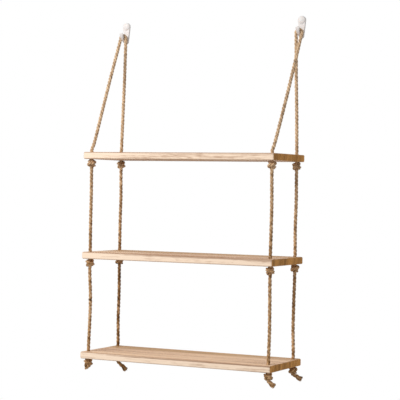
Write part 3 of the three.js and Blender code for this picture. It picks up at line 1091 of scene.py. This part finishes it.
def addHairs(lay, start, stop, hairs, chance, name):
    inside = [index for index in lay.between(start, stop) if index < len(lay.line) - 1]
    batches = [(inside, round((stop - start) * fuzz["perMetre"]), 1)]
    if name == fuzz["tuftNode"]:
        height = fibreLook["soiledSpot"][2]
        near = [index for index in inside if abs(lay.line[index].z - height) < fuzz["tuftReach"]]
        batches.append((near, fuzz["tuftHairs"], fuzz["tuftLength"]))
    for choices, count, share in batches:
        for _ in range(count):
            index = chance.choice(choices)
            strand = chance.randrange(rope["strands"])
            addHair(lay, index, strand, hairs, chance, share)


def addHair(lay, index, strand, hairs, chance, share):
    centre, out = strandPlace(lay, index, strand, 1)
    way = lay.ways[index]
    around = way.cross(out)
    root = out * chance.uniform(*fuzz["rootOut"]) + around * chance.uniform(*fuzz["rootAround"])
    root = centre + root.normalized() * drawnRadius * fuzz["rootShare"]
    heading = way * chance.choice((-1, 1)) * chance.uniform(*fuzz["leanAlong"])
    heading = heading + out * chance.uniform(*fuzz["leanOut"])
    heading = (heading + around * chance.uniform(*fuzz["leanAround"])).normalized()
    curl = out * chance.uniform(*fuzz["curlOut"]) + around * chance.uniform(*fuzz["curlAround"])
    length = fuzz["length"] * chance.uniform(*fuzz["lengthShares"]) * share
    places = [root + heading * length * t + curl * length * t * t for t in fuzz["places"]]
    addStrand(hairs, places, fuzz["widths"])


# Wall hooks
hooks = {
    "headDiameter": 17 * mm,
    "headDome": 1.8 * mm,
    "domeRings": 24,
    "footWidth": 10 * mm,
    "plateThickness": 3.5 * mm,
    "plateRound": 1 * mm,
    "plateRoundSegments": 4,
    "saddleWidth": 6 * mm,
    "saddleBlock": 5 * mm,
    "lipWidth": 8 * mm,
    "tongueRoot": 1 * mm,
    "tongueFootWidth": 3.2 * mm,
    "tongueFrontSpans": 16,
    "troughReach": 4.6 * mm,
    "troughFillet": 5 * mm,
    "troughFilletSpans": 6,
    "troughRound": 1.5 * mm,
    "troughRoundSpans": 4,
    "lipRise": 5.5 * mm,
    "lipLean": 2.2 * mm,
    "lipThickness": 3.2 * mm,
    "lipSpans": 12,
    "undersideSpans": 12,
    "cutReach": 30 * mm,
    "cutOverrun": 2 * mm,
    "sides": 48,
    "voxel": 0.3 * mm,
    "softening": 0.5,
    "softenings": 8,
}


def disc(shape, radius, thickness, z, front):
    made = bmesh.ops.create_cone(shape, cap_ends=True, segments=hooks["sides"], radius1=radius,
                                 radius2=radius, depth=thickness)
    bmesh.ops.rotate(shape, verts=made["verts"], matrix=Matrix.Rotation(math.pi / 2, 3, "X"))
    bmesh.ops.translate(shape, verts=made["verts"], vec=(0, front + thickness / 2, z))
    return made["verts"]


def prismObject(name, points, way):
    shape = bmesh.new()
    face = shape.faces.new([shape.verts.new(point) for point in points])
    made = bmesh.ops.extrude_face_region(shape, geom=[face])["geom"]
    bmesh.ops.translate(shape, verts=vertsIn(made), vec=way)
    bmesh.ops.recalc_face_normals(shape, faces=shape.faces)
    return helperObject(name, shape)


# Points of the smooth line from the first corner to the last, drawn towards the ones between
def bend(corners, spans):
    degree = len(corners) - 1
    points = []
    for index in range(1, spans + 1):
        t = index / spans
        shares = [math.comb(degree, k) * t ** k * (1 - t) ** (degree - k) for k in range(degree + 1)]
        pairs = list(zip(shares, corners))
        points.append(tuple(sum(share * corner[axis] for share, corner in pairs) for axis in (0, 1)))
    return points


def tongueSide(front, back, foot):
    floor = -route["diameter"] / 2 - route["seatGap"]
    reach, lean, lip = hooks["troughReach"], hooks["lipLean"], hooks["lipThickness"]
    fillet, edge = hooks["troughFillet"], hooks["troughRound"]
    outline = [(-back, floor + fillet), (-front, floor + fillet)]
    guides = [(-front, floor + fillet), (-front, floor), (-front + fillet, floor)]
    outline += bend(guides, hooks["troughFilletSpans"])
    outline += [(reach - edge, floor)]
    guides = [(reach - edge, floor), (reach, floor), (reach + lean / 4, floor + edge)]
    outline += bend(guides, hooks["troughRoundSpans"])
    tipZ = hooks["lipRise"] - lip / 2
    centre = reach + lean + lip / 2
    for index in range(hooks["lipSpans"] + 1):
        angle = math.pi * (1 - index / hooks["lipSpans"])
        outline.append((centre + lip / 2 * math.cos(angle), tipZ + lip / 2 * math.sin(angle)))
    outer = reach + lean + lip
    guides = [(outer, tipZ), (outer, floor), (reach, (floor + 2 * foot) / 3), (-front, foot)]
    outline += bend(guides, hooks["undersideSpans"])
    outline.append((-back, foot))
    return outline


def tongueFront(foot):
    half = hooks["saddleWidth"] / 2
    lip = hooks["lipWidth"] / 2
    halfFoot = hooks["tongueFootWidth"] / 2
    seat = -route["loopRadius"]
    outline = []
    for index in range(hooks["tongueFrontSpans"] + 1):
        angle = math.pi * index / hooks["tongueFrontSpans"]
        outline.append((lip * math.cos(angle), hooks["lipRise"] - lip + lip * math.sin(angle)))
    return outline + [(-half, seat), (-halfFoot, foot), (halfFoot, foot), (half, seat)]


# The tapering plate is the hull of a large and a small disc, with its rim rounded and a dome on its head
def hookPlate(top, foot, front):
    shape = bmesh.new()
    head = hooks["headDiameter"] / 2
    narrow = hooks["footWidth"] / 2
    verts = disc(shape, head, hooks["plateThickness"], top - head, front)
    verts += disc(shape, narrow, hooks["plateThickness"], foot + narrow, front)
    hull = bmesh.ops.convex_hull(shape, input=verts)
    spare = [item for item in hull["geom_interior"] + hull["geom_unused"] if item.is_valid]
    bmesh.ops.delete(shape, geom=vertsIn(spare), context="VERTS")
    bmesh.ops.dissolve_limit(shape, angle_limit=0.01, verts=shape.verts, edges=shape.edges)
    rim = [edge for edge in shape.edges if all(abs(vert.co.y - front) < 0.01 * mm for vert in edge.verts)]
    roundOff(shape, rim, hooks["plateRound"], hooks["plateRoundSegments"])
    dome = bmesh.ops.create_uvsphere(shape, u_segments=hooks["sides"], v_segments=hooks["domeRings"],
                                     radius=1)
    radius = head - hooks["plateRound"]
    bmesh.ops.scale(shape, verts=dome["verts"], vec=(radius, hooks["headDome"], radius))
    bmesh.ops.translate(shape, verts=dome["verts"], vec=(0, front, top - head))
    return meshFromBmesh("hookPlate", shape)


# The tongue: its side outline, cut to its front outline, with a round saddle for the rope
def hookTongue(front, back, foot):
    width = hooks["lipWidth"] + hooks["cutOverrun"]
    root = back - hooks["tongueRoot"]
    seat = -route["loopRadius"]
    tongue = prismObject("tongue", [(-width / 2, -out, z) for out, z in tongueSide(front, root, foot)],
                         (width, 0, 0))
    facing = prismObject("facing", [(x, root, z) for x, z in tongueFront(foot)], (0, -hooks["cutReach"], 0))
    addBoolean(tongue, facing, "INTERSECT")
    length = hooks["troughReach"] + front - hooks["troughFillet"]
    shape = bmesh.new()
    bmesh.ops.create_cube(shape, size=1)
    bmesh.ops.scale(shape, verts=shape.verts, vec=(width, length, hooks["saddleBlock"]))
    middle = (0, length / 2 - hooks["troughReach"], hooks["saddleBlock"] / 2 + seat)
    bmesh.ops.translate(shape, verts=shape.verts, vec=middle)
    block = helperObject("block", shape)
    shape = bmesh.new()
    over = hooks["cutOverrun"]
    disc(shape, hooks["saddleWidth"] / 2, length + 2 * over, seat, -hooks["troughReach"] - over)
    rod = helperObject("rod", shape)
    addBoolean(block, rod, "DIFFERENCE")
    addBoolean(tongue, block, "DIFFERENCE")
    mesh = appliedMesh(tongue)
    for helper in (facing, block, rod):
        bpy.data.objects.remove(helper)
    return mesh


def makeHook(side, sign, material):
    low, high = hookBox[side]
    back = high.y - holes["backY"]
    front = back - hooks["plateThickness"]
    whole = bmesh.new()
    whole.from_mesh(hookPlate(high.z, low.z, front))
    whole.from_mesh(hookTongue(front, back, low.z))
    merged = helperObject("hook", whole)
    remesh = merged.modifiers.new("remesh", "REMESH")
    remesh.mode = "VOXEL"
    remesh.voxel_size = hooks["voxel"]
    soften = merged.modifiers.new("soften", "SMOOTH")
    soften.factor = hooks["softening"]
    soften.iterations = hooks["softenings"]
    mesh = appliedMesh(merged)
    mesh.transform(Matrix.Translation((sign * holes["x"], holes["backY"], 0)))
    for face in mesh.polygons:
        face.use_smooth = True
    finishPiece(makeObject(side + "_moulded_hook", mesh, material), side + "_wall_hook")


# Floor and light
def makeStudio():
    shader = newShader("floorPale")
    place = shader.place()
    x, y, _ = shader.parts(place)
    away = (x * x + y * y) ** 0.5
    grain = shader.noise(place, scale=studio["floorGrain"])
    matt = shader.node("BsdfDiffuse", inputs={"Color": shader.mixed(grain, *studio["floorColours"])})
    white = shader.node("Emission", inputs={"Color": (1, 1, 1), "Strength": 1})
    near = studio["floorWhiteNear"]
    share = shader.shown() * (shader.step(away, 0, studio["floorClearRadius"]) * (1 - near) + near)
    floorMaterial = shader.surfaced(shader.node("MixShader", inputs={0: share, 1: matt, 2: white}))
    shape = bmesh.new()
    bmesh.ops.create_grid(shape, x_segments=1, y_segments=1, size=studio["floorSize"] / 2)
    bmesh.ops.translate(shape, vec=(0, 0, -studio["floorDrop"]), verts=shape.verts)
    floor = makeObject("floor", meshFromBmesh("floor", shape), floorMaterial)

    shader = Shader(bpy.data.worlds.new("studioWorld"))
    inputs = {"Color": studio["surroundings"], "Strength": studio["surroundingsStrength"]}
    lit = shader.node("Background", inputs=inputs)
    backdrop = shader.node("Background", inputs={"Color": (1, 1, 1)})
    both = shader.node("MixShader", inputs={0: shader.shown(), 1: lit, 2: backdrop})
    scene.world = shader.surfaced(both, "World")

    lamp = bpy.data.objects.new("keyLamp", bpy.data.lights.new("keyLamp", "AREA"))
    lamp.data.shape = "DISK"
    lamp.data.size = studio["keySize"]
    lamp.data.energy = studio["keyPower"]
    lamp.data.color = studio["keyColour"]
    lamp.location = studio["keyPlace"]
    aim = Vector(view["target"]) - lamp.location
    lamp.rotation_euler = aim.to_track_quat("-Z", "Y").to_euler()
    scene.collection.objects.link(lamp)


makeCamera()
makeStudio()
print("camera and studio made")

for tier in boardBox:
    makeBoard(tier)
print("boards made")

fibre = ropeMaterial()
chance = random.Random(rope["seed"])
for side, sign in (("left", -1), ("right", 1)):
    lay = RopeSide(side, sign)
    for number in range(len(lay.pieces)):
        makeRopePiece(lay, number, fibre, chance)
print("ropes and knots made")

plastic = hookMaterial()
foam = padMaterial()
for side, sign in (("left", -1), ("right", 1)):
    makeHook(side, sign, plastic)
    pad = frame["nodes"][side + "_adhesive_pad"]
    pad.data.materials.clear()
    pad.data.materials.append(foam)
print("hooks made")
